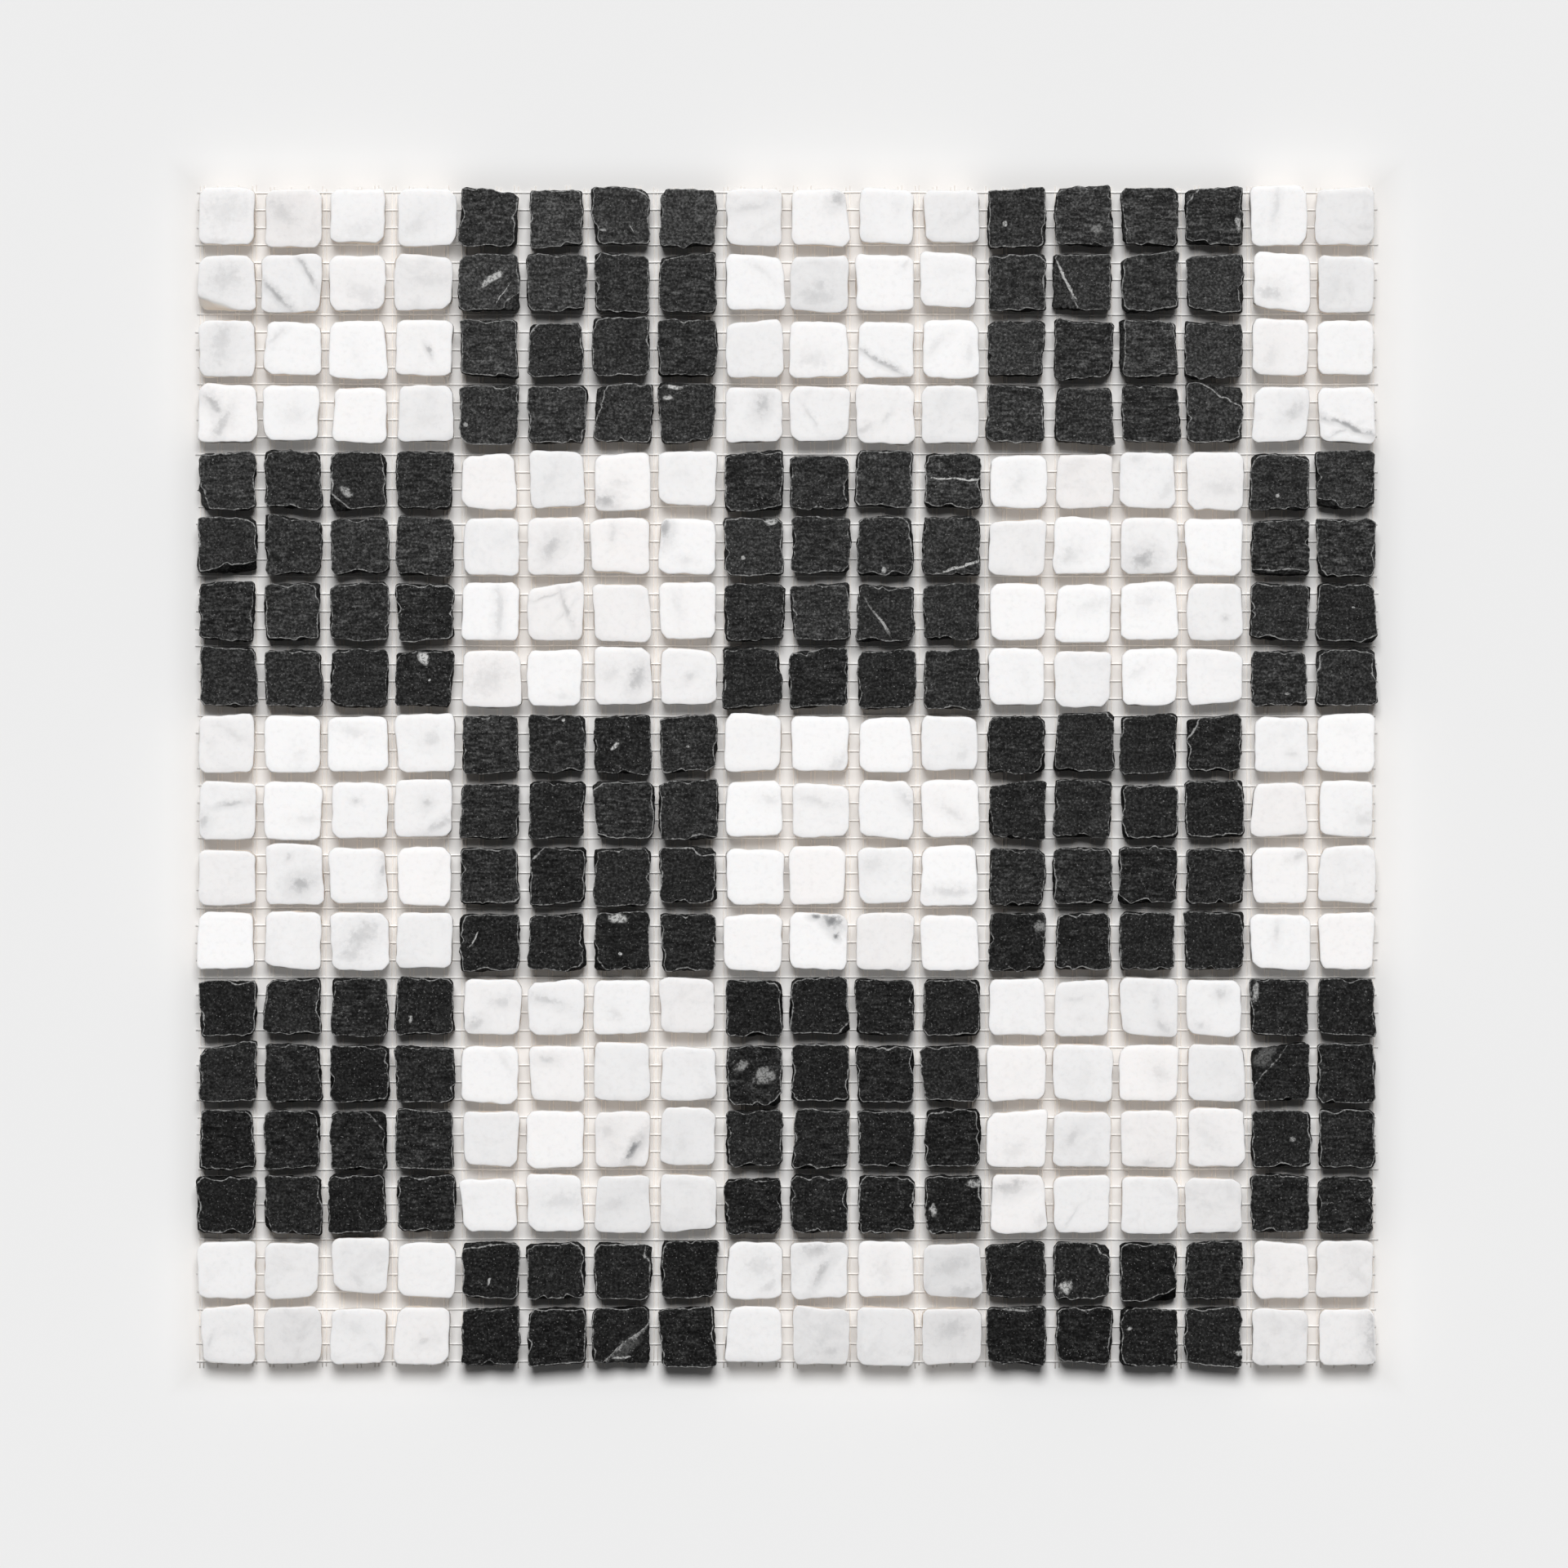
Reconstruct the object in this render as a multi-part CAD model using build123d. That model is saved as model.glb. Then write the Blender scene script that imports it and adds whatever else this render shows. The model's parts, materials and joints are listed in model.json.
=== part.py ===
"""A sheet of tumbled marble mosaic: white and black stones in a checkerboard of blocks, glued to a net.

Millimetres. The sheet lies face up: X runs along a row, Y up a column and Z out of the face. The origin is
on the underside of the net, below the middle of the sheet. Rows are counted from the far edge (+Y) and
columns from the left edge (-X), both from 0.
"""

import math
import os
import random

from build123d import *

# The sheet
ROWS = 18
COLUMNS = 18
BLOCK = 4  # stones along one side of a checkerboard block; the last one of a row or column may be cut short
JOINT = 2.45  # nominal gap between neighbouring stones, to be filled with grout

# The stones
STONE = 14.5  # nominal side of a stone's face
STONE_THICKNESS = 8.0
THICKNESS_SPREAD = 0.25  # most that one stone is thinner or thicker than that
WHITE_EDGE = 0.5  # width of the worn edge round a white stone's face
WHITE_CORNER = (0.8, 2.0)  # least and most length that tumbling takes off each side at a corner
BLACK_CORNER = (0.4, 1.5)
CENTRE_STRAY = 0.12  # most that a stone lies off its place, as a share of the joint
CORNER_STRAY = 0.34  # most that a corner lies off its place on the stone, as a share of the joint
BLACK_CHIPPED = 0.12  # share of the other black stones that have lost a corner of their face
CHIP_REACH = (1.2, 2.6)  # least and most that a chip reaches in from the corner
CHIP_SLOPE = (40.0, 65.0)  # degrees that a chip falls away from the face
SEED = "tumbled"

# Stones that slid while the glue was wet, by row and column: their slide in X and Y, as shares of the joint
SLID = {(1, 11): (-0.3, 0.35), (16, 2): (0.0, 0.5), (16, 17): (-0.25, 0.2), (4, 13): (0.25, 0.0)}

# Stones with a slanting far side, by row and column: how far its left and right corners are moved out
SLANTED = {
    (0, 4): (0.9, -1.2),
    (0, 12): (-0.2, 0.9),
    (1, 7): (-0.9, 0.9),
    (1, 11): (0.3, -1.0),
    (1, 14): (-1.2, 1.2),
    (2, 8): (-0.8, 0.5),
    (3, 15): (1.2, -0.3),
    (4, 8): (-0.6, 0.5),
    (4, 9): (-1.2, -1.2),
    (5, 1): (1.3, -1.3),
    (6, 5): (-1.4, 0.9),
    (8, 15): (-1.2, 0.5),
    (9, 12): (-1.3, 0.3),
    (13, 0): (-1.3, 1.1),
    (13, 16): (-0.9, 0.7),
}

# Stones with a broken face, by row and column: which way the break lies (degrees from +X), how far it
# reaches in from the corner that lies farthest that way, and how steeply it falls away (degrees)
BROKEN = {
    (0, 6): (50, 1.8, 60),
    (0, 15): (138, 2.4, 50),
    (1, 0): (249, 3.6, 50),
    (1, 4): (-42, 3.2, 45),
    (1, 13): (206, 6.2, 22),
    (2, 14): (178, 1.5, 55),
    (3, 6): (160, 2.4, 50),
    (3, 15): (63, 3.9, 38),
    (4, 0): (200, 2.2, 65),
    (4, 2): (232, 3.4, 45),
    (4, 17): (250, 2.4, 60),
    (5, 0): (-78, 2.7, 60),
    (5, 16): (-92, 1.7, 40),
    (6, 17): (-62, 2.0, 55),
    (8, 15): (150, 2.8, 50),
    (10, 7): (78, 1.8, 40),
    (13, 16): (141, 6.4, 28),
    (14, 2): (48, 3.5, 50),
    (16, 4): (100, 1.8, 40),
    (16, 6): (10, 1.6, 40),
    (16, 14): (-62, 3.0, 60),
    (17, 6): (-50, 8.0, 10),
}

# The net
NET_MESH = 4.5  # centre to centre of neighbouring threads, both ways
NET_OVERHANG = 1.0  # how far the net reaches past the nominal edge of the outer stones
WEFT_WIDTH = 0.45
WEFT_HEIGHT = 0.35
WARP_WIDTH = 0.4
WARP_HEIGHT = 0.25
WARP_SLIT = 0.6  # clear width between the two warp threads of a pair

# What follows from those
PITCH = STONE + JOINT
SHEET_X = (COLUMNS - 1) * PITCH + STONE
SHEET_Y = (ROWS - 1) * PITCH + STONE
NET_X = SHEET_X + 2 * NET_OVERHANG
NET_Y = SHEET_Y + 2 * NET_OVERHANG
WARP_PAIR = WARP_WIDTH + WARP_SLIT  # centre to centre of the two warp threads of a pair
STONE_SEAT = WARP_HEIGHT + WEFT_HEIGHT  # height of the top of the net, where the stones are glued on


def colour_of(row, column):
    """The marble that the checkerboard puts at this place."""
    return "white" if (row // BLOCK + column // BLOCK) % 2 == 0 else "black"


def mostly_small(draw):
    """A chance share from -1 to 1, of which most are small."""
    share = draw.uniform(-1, 1)
    return share * abs(share)


def face_corners(draw, row, column):
    """The four corners of one stone seen from above, anticlockwise from the near left one."""
    stray_x = draw.uniform(-1, 1) * CENTRE_STRAY
    stray_y = draw.uniform(-1, 1) * CENTRE_STRAY
    slide_x, slide_y = SLID.get((row, column), (stray_x, stray_y))
    middle = Vector((column - (COLUMNS - 1) / 2) * PITCH, ((ROWS - 1) / 2 - row) * PITCH, STONE_SEAT)
    middle += Vector(slide_x, slide_y) * JOINT
    corners = []
    for side_x, side_y in ((-1, -1), (1, -1), (1, 1), (-1, 1)):
        stray = Vector(mostly_small(draw), mostly_small(draw)) * CORNER_STRAY * JOINT
        corners.append(middle + Vector(side_x, side_y) * (STONE / 2) + stray)
    if (row, column) in SLANTED:
        left, right = SLANTED[row, column]
        corners[2] = middle + Vector(STONE / 2, STONE / 2 + right)
        corners[3] = middle + Vector(-STONE / 2, STONE / 2 + left)
    return corners


def tumbled_outline(draw, corners, least, most):
    """The face bounded by those corners, with a length taken off both sides of each."""
    points = []
    for index, corner in enumerate(corners):
        before = corners[index - 1]
        after = corners[(index + 1) % len(corners)]
        points.append(corner + (before - corner).normalized() * draw.uniform(least, most))
        points.append(corner + (after - corner).normalized() * draw.uniform(least, most))
    return make_face(Polyline(*points, close=True))


def chance_chip(draw):
    """A chip at any corner, in the form of a broken face."""
    diagonal = draw.choice((45, 135, 225, 315))
    return diagonal, draw.uniform(*CHIP_REACH), draw.uniform(*CHIP_SLOPE)


def break_off(stone, corners, heading, reach, fall):
    """The stone without one corner of its face, broken off along a slanting plane."""
    top = stone.bounding_box().max.Z
    outward = Vector(1, 0, 0).rotate(Axis.Z, heading)
    corner = max(corners, key=lambda point: point.dot(outward))
    on_face = corner - outward * reach
    slope = math.radians(fall)
    normal = outward * math.sin(slope) + Vector(0, 0, math.cos(slope))
    break_plane = Plane(origin=(on_face.X, on_face.Y, top), z_dir=normal)
    return split(stone, bisect_by=break_plane, keep=Keep.BOTTOM)


def make_stone(row, column):
    """One stone, lying on the net."""
    draw = random.Random(f"{SEED} {row} {column}")
    white = colour_of(row, column) == "white"
    corners = face_corners(draw, row, column)
    outline = tumbled_outline(draw, corners, *(WHITE_CORNER if white else BLACK_CORNER))
    thickness = STONE_THICKNESS + draw.uniform(-1, 1) * THICKNESS_SPREAD
    stone = extrude(outline, amount=thickness)
    if white:
        stone = chamfer(stone.faces().sort_by(Axis.Z)[-1].edges(), length=WHITE_EDGE)
    if (row, column) in BROKEN:
        return break_off(stone, corners, *BROKEN[row, column])
    if not white and draw.random() < BLACK_CHIPPED:
        return break_off(stone, corners, *chance_chip(draw))
    return stone


def make_block(block_row, block_column):
    """The stones of one block of the checkerboard."""
    rows = range(block_row * BLOCK, min((block_row + 1) * BLOCK, ROWS))
    columns = range(block_column * BLOCK, min((block_column + 1) * BLOCK, COLUMNS))
    return [make_stone(row, column) for row in rows for column in columns]


def thread_places(length, width):
    """Where threads or pairs of that width cross that length of the net, measured from its middle."""
    count = int((length - width) / NET_MESH) + 1
    return [(index - (count - 1) / 2) * NET_MESH for index in range(count)]


def make_weft():
    """The single threads along the rows, which lie on the warp and carry the stones."""
    thread = Pos(0, 0, WARP_HEIGHT + WEFT_HEIGHT / 2) * Box(NET_X, WEFT_WIDTH, WEFT_HEIGHT)
    return [Pos(0, y, 0) * thread for y in thread_places(NET_Y, WEFT_WIDTH)]


def make_warp():
    """The pairs of threads along the columns, which are the underside of the sheet."""
    thread = Pos(0, 0, WARP_HEIGHT / 2) * Box(WARP_WIDTH, NET_Y, WARP_HEIGHT)
    middles = thread_places(NET_X, WARP_PAIR + WARP_WIDTH)
    return [Pos(x + side * WARP_PAIR / 2, 0, 0) * thread for x in middles for side in (-1, 1)]


def main():
    os.makedirs("parts", exist_ok=True)
    nodes = {"net_weft_threads": make_weft(), "net_warp_threads": make_warp()}
    for block_row in range(math.ceil(ROWS / BLOCK)):
        for block_column in range(math.ceil(COLUMNS / BLOCK)):
            colour = colour_of(block_row * BLOCK, block_column * BLOCK)
            name = f"{colour}_stones_row{block_row + 1}_col{block_column + 1}"
            nodes[name] = make_block(block_row, block_column)
    for name, solids in nodes.items():
        export_step(Compound(solids), f"parts/{name}.step")


main()
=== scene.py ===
"""Dresses a sheet of tumbled marble mosaic: worn stones, a woven net, adhesive and a plain stage.

Metres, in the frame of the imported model: X runs along the rows, Y up the columns and Z out of the faces.
A stone is named by its row from the far edge (+Y) and its column from the left edge (-X), both from 1.
"""

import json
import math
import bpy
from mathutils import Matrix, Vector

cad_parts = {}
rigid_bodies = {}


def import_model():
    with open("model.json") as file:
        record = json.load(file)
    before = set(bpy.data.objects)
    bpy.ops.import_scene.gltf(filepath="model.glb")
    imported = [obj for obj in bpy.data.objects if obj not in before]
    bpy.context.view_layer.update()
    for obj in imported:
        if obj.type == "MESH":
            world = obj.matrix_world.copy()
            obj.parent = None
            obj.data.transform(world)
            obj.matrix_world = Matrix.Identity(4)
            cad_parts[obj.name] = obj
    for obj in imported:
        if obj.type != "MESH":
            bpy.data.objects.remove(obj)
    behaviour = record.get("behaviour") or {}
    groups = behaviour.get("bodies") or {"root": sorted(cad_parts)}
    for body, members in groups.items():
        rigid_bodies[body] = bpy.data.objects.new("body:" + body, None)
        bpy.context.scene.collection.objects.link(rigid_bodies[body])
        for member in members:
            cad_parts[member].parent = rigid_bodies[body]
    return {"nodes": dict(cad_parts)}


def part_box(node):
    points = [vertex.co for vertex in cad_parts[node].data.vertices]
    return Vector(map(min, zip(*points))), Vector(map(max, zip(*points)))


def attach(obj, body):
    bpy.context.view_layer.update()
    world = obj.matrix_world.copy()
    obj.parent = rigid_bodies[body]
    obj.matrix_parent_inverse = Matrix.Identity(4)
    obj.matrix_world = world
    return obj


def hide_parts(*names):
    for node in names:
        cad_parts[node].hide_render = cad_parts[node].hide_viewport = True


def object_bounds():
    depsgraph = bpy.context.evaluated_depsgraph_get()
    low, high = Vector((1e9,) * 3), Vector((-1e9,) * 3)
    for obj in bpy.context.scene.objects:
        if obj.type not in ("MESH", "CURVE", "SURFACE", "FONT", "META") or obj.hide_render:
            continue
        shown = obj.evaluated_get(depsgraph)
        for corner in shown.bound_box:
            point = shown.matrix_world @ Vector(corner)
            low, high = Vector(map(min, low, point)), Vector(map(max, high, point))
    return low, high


bl_info = {
    "name": "Tumbled marble mosaic",
    "version": (1, 0, 0),
    "blender": (4, 5, 0),
    "location": "View3D > Sidebar > Mosaic",
    "description": "Dresses a mosaic sheet with worn stones, a woven net, adhesive and a plain stage",
    "category": "Object",
}

import bpy
import numpy as np
from mathutils import Vector, noise

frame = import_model()
CAD_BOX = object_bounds()

MM = 0.001
SEED = 18

# The sheet
ROWS = 18
COLUMNS = 18
PITCH = 16.95 * MM  # centre to centre of neighbouring stones

# The net
NET_MESH = 4.5 * MM  # centre to centre of neighbouring threads
WEFT_WIDTH = 0.45 * MM
WARP_WIDTH = 0.4 * MM
WARP_PAIR = 1.0 * MM  # centre to centre of the two warp threads of a pair
WEFT_RISE = 0.04 * MM  # how far a weft thread rises over a pair of warp threads
WEFT_STEPS = 136  # lengths that a thread is divided into, two for each pair of warp threads
WARP_STEPS = 51
WEFT_SIDES = 5
WARP_SIDES = 4
THREAD_ENDS = (-0.3, 0.8)  # least and most, in mm, that a thread ends short of the net's edge
SWAY_LENGTH = 26 * MM  # along a thread, size of the noise that it sways by
SWAY_APART = 7.3  # from thread to thread, distance in that noise
SWAY_LEVEL = 0.5  # between the levels at which that noise is 0
FIRST_WARP = 100  # where the warp pairs start in that noise, past all weft threads
SWELL = 0.12  # most that a thread is thicker or thinner, as a share
SWELL_LENGTH = 2.2 * MM
HIDDEN = 6.4 * MM  # from a stone's middle, how far the net is out of sight
KNOT_HEIGHT = 0.24 * MM  # half height of a drop of resin
KNOT_SIDES = 6
KNOT_SIZES = (0.7, 1.25)  # least and most, as shares of the nominal size
KNOT_SHOULDER = 0.7  # width and height of the rings between the rim and the ends, as shares

# How a stone is divided into rings of points, from the middle of its face to the middle of its back
WHITE_OUTLINE = 60  # points in a ring
BLACK_OUTLINE = 120
OUTLINE_STEPS = 720  # headings at which an outline is measured
FACE_SHARES = (0.45, 0.78)  # shares of the way out to the edge of the face
EDGE_INSET = 0.45 * MM  # inner border of the worn edge of the face
EDGE_DEPTHS = (0.25 * MM, 0.6 * MM, 1.0 * MM, 1.6 * MM, 2.6 * MM)  # below the face
SIDE_SHARES = (0.5, 0.18, 0.0)  # heights on the side, as shares of the thickness
BACK_INSET = 0.9 * MM
FIRST_EDGE_RING = len(FACE_SHARES)  # the inner border of the worn edge
FACE_EDGE_RING = FIRST_EDGE_RING + 1
FIRST_SIDE_RING = FACE_EDGE_RING + 1
ON_BACK = 2.0  # value of the side mask on the back

# How the stones are worn
ROUNDING = 2.4  # makes a softened right angle as blunt as a fillet of its radius
ROUNDING_STEPS = 6  # rounds of the search for the worn surface
LEAST = 1e-6  # what is smaller counts as nothing
FLAT = math.radians(0.5)  # facets that turn by less are one flat face
BEVEL_SLOPE = math.radians(45)  # of the white stones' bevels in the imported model
BEVEL_MATCH = 0.01  # how near to that slope a bevel is, as a cosine
WHITE_UNDERCUT = 0.02  # how far the sides lean in towards the back, for each unit of depth
BLACK_UNDERCUT = 0.03
LONG_WAVE = 7 * MM  # size of the swings of a white side
SHORT_WAVE = 2.4 * MM
SHORT_SHARE = 0.7  # height of the short swings, as a share of the long ones
HOLLOW_SIZE = 5 * MM  # of the broken sides of the black stones
HOLLOW_RIM = 0.7  # squared distance from a hollow's middle at which it ends, in its own size
HOLLOW_LEVEL = 0.3  # squared distance at which a hollow is neither in nor out
RIDGE_HEIGHT = 0.25 * MM  # most that a black side is rough between its hollows
RIDGE_SIZE = 1.7 * MM
CRUMB_HEIGHT = 0.1 * MM
CRUMB_SIZE = 0.7 * MM
FLAKE_LEAST = 2  # least flakes on one black stone
FLAKE_HALF_WIDTH = (0.12, 0.4)  # least and most, in radians round the stone
FLAKE_INWARD = (0.25, 1.0)  # least and most, in mm
FLAKE_DOWN = (0.5, 2.2)  # least and most, in mm
BLACK_SMOOTH = math.radians(38)  # sharper edges of the black stones are shaded as edges

# How the stones differ from each other, and the painted light and shade that change across the rows
BEST_LIT_ROW = 8  # of the white stones, the row drawn brightest, where the painted falloff of light is least
FALLOFF_ROWS = 10  # rows from there to the row most darkened by painted shade
DULL_LEAST = 0.12  # dullness of the brightest row, before chance
FALLOFF_SHADE_GAIN = 0.55  # painted shade: how much darker the row farthest from there is drawn, as light falls off
DULL_SPREAD = (-0.28, 0.3)  # least and most that chance adds
WARMEST = 0.5  # share of the warm tint in the warmest stone
CHANCE_PLACE = 4  # most, in mm, that a mark by chance lies off the middle of a white face
CHANCE_SMALLEST = (2.0, 0.8)  # half length and half width, in mm
CHANCE_LARGEST = (5.0, 2.2)
CHANCE_STRENGTH = (-0.2, 0.25)  # below 0 there is no mark
NEAR_TONE = 0.102  # greyness of the black stones in the last row
FAR_SHEEN_GAIN = 0.182  # painted sheen: how much greyer the first row is drawn, as the lamp's sheen grows towards the far edge
FAR_SHEEN_POWER = 1.6
TONE_SPREAD = (0.78, 1.25)  # least and most that chance multiplies the greyness by
WORN_SPREAD = (0.6, 1.0)  # least and most wear of the edges of black faces
SAWN_SPREAD = (0.3, 1.0)  # least and most strength of their saw marks
GRAIN_CONTRAST = 12000.0  # raised to the noise of the black grain

# Grey veins and clouds in white stones, by row and column, up to three in a stone: place from the middle of
# the face (mm to the right, mm up), turn (degrees), half length and half width (mm), strength
WHITE_MARKS = {
    (1, 1): ((0.0, 1.0, 20, 6.0, 4.50, 0.20), (-2.3, -6.2, 0, 3.0, 0.80, 0.20)),
    (1, 2): ((-3.0, 1.5, -45, 4.0, 2.50, 0.30),),
    (1, 3): ((1.0, -3.5, 15, 6.0, 2.00, 0.15),),
    (1, 10): ((4.7, 5.3, 60, 2.4, 1.60, 0.50),),
    (1, 17): ((-0.5, 3.0, 85, 4.0, 0.80, 0.25),),
    (1, 18): ((5.5, -2.9, 0, 2.0, 1.20, 0.20),),
    (2, 1): ((-0.5, 1.0, 30, 4.5, 3.50, 0.30),),
    (2, 2): ((-3.9, -3.0, -46, 5.5, 0.80, 0.70), (3.9, 3.0, -56, 5.0, 0.60, 0.55)),
    (2, 10): ((-1.0, -3.0, 0, 4.5, 2.20, 0.30), (-0.2, -0.8, 0, 1.5, 1.20, 0.30)),
    (2, 11): ((5.5, 4.9, 60, 1.5, 0.80, 0.20),),
    (2, 17): ((-3.2, -2.6, 0, 3.0, 1.80, 0.40),),
    (3, 1): ((-1.5, 1.5, 80, 5.0, 2.20, 0.30),),
    (3, 2): ((-4.0, 3.0, 45, 2.5, 0.70, 0.25),),
    (3, 4): ((1.1, -0.7, -60, 1.6, 0.50, 0.60),),
    (3, 11): ((-1.6, -2.7, -31, 5.7, 0.60, 0.60), (2.3, -5.3, -25, 1.8, 0.50, 0.60)),
    (3, 12): ((-4.0, 1.0, 45, 3.0, 1.00, 0.20), (4.9, -0.7, 85, 2.5, 1.00, 0.20)),
    (4, 1): ((-3.6, 2.0, -50, 3.5, 1.30, 0.60), (-1.4, -3.3, 65, 3.5, 1.10, 0.45)),
    (4, 2): ((1.2, -0.6, 0, 3.0, 3.00, 0.15),),
    (4, 4): ((0.0, -1.5, 0, 3.0, 2.50, 0.12),),
    (4, 9): ((2.1, 2.9, 70, 2.6, 1.60, 0.50),),
    (4, 10): ((-2.4, -0.6, -56, 3.2, 0.40, 0.25),),
    (4, 11): ((-5.5, -3.7, 20, 2.0, 1.00, 0.30), (0.5, -0.6, 60, 2.5, 0.60, 0.20)),
    (4, 17): ((3.6, 0.8, 45, 3.0, 1.50, 0.35),),
    (4, 18): ((1.0, -3.2, -20, 6.7, 0.50, 0.80), (-1.8, -4.2, 22, 3.5, 0.40, 0.35)),
    (5, 7): ((-4.3, -5.0, 0, 2.2, 1.60, 0.60), (-1.2, -0.5, 0, 2.0, 1.50, 0.20)),
    (5, 15): ((-3.4, 6.0, 0, 2.0, 1.20, 0.20), (4.5, -2.5, 60, 3.0, 1.20, 0.20)),
    (6, 6): ((-1.0, -0.4, 60, 2.8, 1.60, 0.45),),
    (6, 7): ((-1.6, 3.2, 80, 2.0, 0.80, 0.25),),
    (6, 8): ((-5.7, 4.9, 90, 2.8, 1.50, 0.70), (-0.4, -4.0, 0, 2.0, 1.00, 0.20)),
    (6, 14): ((-3.3, -2.2, 30, 3.0, 2.00, 0.25),),
    (6, 15): ((-2.0, -3.5, 0, 2.6, 2.20, 0.60),),
    (7, 5): ((2.0, 0.0, 90, 6.5, 0.90, 0.30),),
    (7, 6): (
        (-2.6, 3.9, 17, 3.8, 0.35, 0.35),
        (2.4, 1.1, -74, 4.1, 0.50, 0.40),
        (2.0, -0.5, 47, 3.2, 0.40, 0.20),
    ),
    (7, 14): ((2.0, 2.4, 10, 4.0, 1.50, 0.15),),
    (7, 16): ((2.7, -2.0, 0, 0.8, 0.60, 0.35),),
    (8, 5): ((-1.0, 0.0, 30, 5.0, 4.00, 0.25),),
    (8, 6): ((2.5, -4.6, 0, 2.5, 1.20, 0.15),),
    (8, 7): ((3.3, -0.6, 70, 3.0, 1.70, 0.55), (-3.4, 0.7, 0, 2.5, 2.00, 0.20)),
    (8, 8): ((0.5, -0.2, 40, 1.6, 0.80, 0.30),),
    (9, 10): ((5.0, -4.9, 45, 2.5, 1.50, 0.25),),
    (9, 12): ((3.0, -3.0, 60, 2.5, 1.20, 0.20),),
    (9, 17): ((2.9, -2.7, 0, 1.2, 0.80, 0.25),),
    (10, 1): ((0.8, 1.3, 8, 3.0, 0.60, 0.50), (-6.3, -3.0, 0, 1.5, 1.50, 0.40)),
    (10, 3): ((-1.0, 2.2, 0, 1.0, 0.60, 0.35),),
    (10, 4): ((1.0, 1.4, 0, 1.2, 1.20, 0.40), (4.5, -4.5, 25, 4.0, 1.00, 0.40)),
    (10, 9): ((4.3, 2.3, 0, 2.0, 1.20, 0.20),),
    (10, 10): ((-1.0, 2.3, -10, 5.0, 1.00, 0.20),),
    (10, 11): ((5.0, 2.3, -60, 2.5, 0.90, 0.30),),
    (10, 18): ((4.9, -2.5, 0, 2.5, 2.00, 0.25),),
    (11, 2): ((1.6, -2.4, 15, 2.6, 1.80, 0.60), (-1.5, 4.2, 60, 0.9, 0.60, 0.35)),
    (11, 3): ((6.2, 2.0, 85, 3.0, 0.80, 0.50),),
    (11, 12): ((0.5, -4.2, 0, 5.0, 1.20, 0.35),),
    (11, 17): ((5.2, 5.0, 30, 2.0, 0.80, 0.35),),
    (12, 3): ((0.0, 0.8, 40, 5.0, 3.00, 0.40), (-2.5, -3.7, 0, 3.0, 1.50, 0.35)),
    (12, 10): (
        (-0.6, 6.5, 0, 1.2, 0.70, 1.00),
        (3.4, 5.2, -50, 2.2, 1.50, 1.00),
        (4.7, 1.2, -60, 0.9, 0.60, 1.00),
    ),
    (12, 17): ((-0.4, 2.4, 80, 2.5, 0.80, 0.25),),
    (13, 5): ((2.2, 0.9, 0, 2.0, 1.20, 0.30), (-4.5, -4.5, 20, 2.0, 1.20, 0.40)),
    (13, 6): ((-2.8, 1.8, -20, 3.5, 1.00, 0.35),),
    (13, 14): ((-1.5, 2.7, 0, 2.5, 0.80, 0.20),),
    (13, 15): ((3.7, -4.9, -50, 2.0, 1.00, 0.35), (2.0, 1.0, 85, 2.5, 0.80, 0.20)),
    (13, 16): ((1.8, 3.5, 0, 1.2, 1.00, 0.40), (-3.5, -4.4, 0, 1.5, 1.00, 0.30)),
    (14, 6): ((-2.4, 3.6, 0, 2.0, 1.00, 0.35),),
    (15, 7): ((3.0, -2.9, 60, 3.0, 0.90, 1.00), (-4.2, 2.0, 45, 2.0, 2.00, 0.25)),
    (15, 14): ((-2.4, 0.2, 45, 3.0, 1.20, 0.30),),
    (15, 15): ((-0.3, -6.0, 0, 2.0, 0.80, 0.30),),
    (16, 13): ((-2.3, 4.3, 15, 4.0, 1.80, 0.45), (5.7, -4.1, 45, 2.5, 1.50, 0.20)),
    (16, 14): ((-2.4, -3.2, 50, 3.0, 0.35, 0.25),),
    (17, 9): ((1.0, 1.0, 0, 3.5, 3.00, 0.25), (4.0, -4.0, 40, 2.0, 1.00, 0.30)),
    (17, 10): ((0.7, -0.4, 60, 4.0, 1.00, 0.50), (-0.8, 5.2, 10, 4.0, 1.50, 0.45)),
    (17, 12): ((0.0, 1.0, 20, 5.0, 2.00, 0.30), (3.0, -5.0, 10, 4.0, 1.20, 0.35)),
    (18, 1): ((-4.7, -2.4, 60, 2.0, 0.60, 0.25),),
    (18, 4): ((0.6, -1.4, 30, 1.5, 0.80, 0.30),),
    (18, 10): ((2.8, -4.4, 0, 2.0, 1.50, 0.30),),
    (18, 12): ((0.0, 1.5, 0, 4.0, 2.50, 0.35),),
    (18, 18): ((6.8, 0.0, 90, 6.5, 2.20, 0.50),),
}

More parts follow.
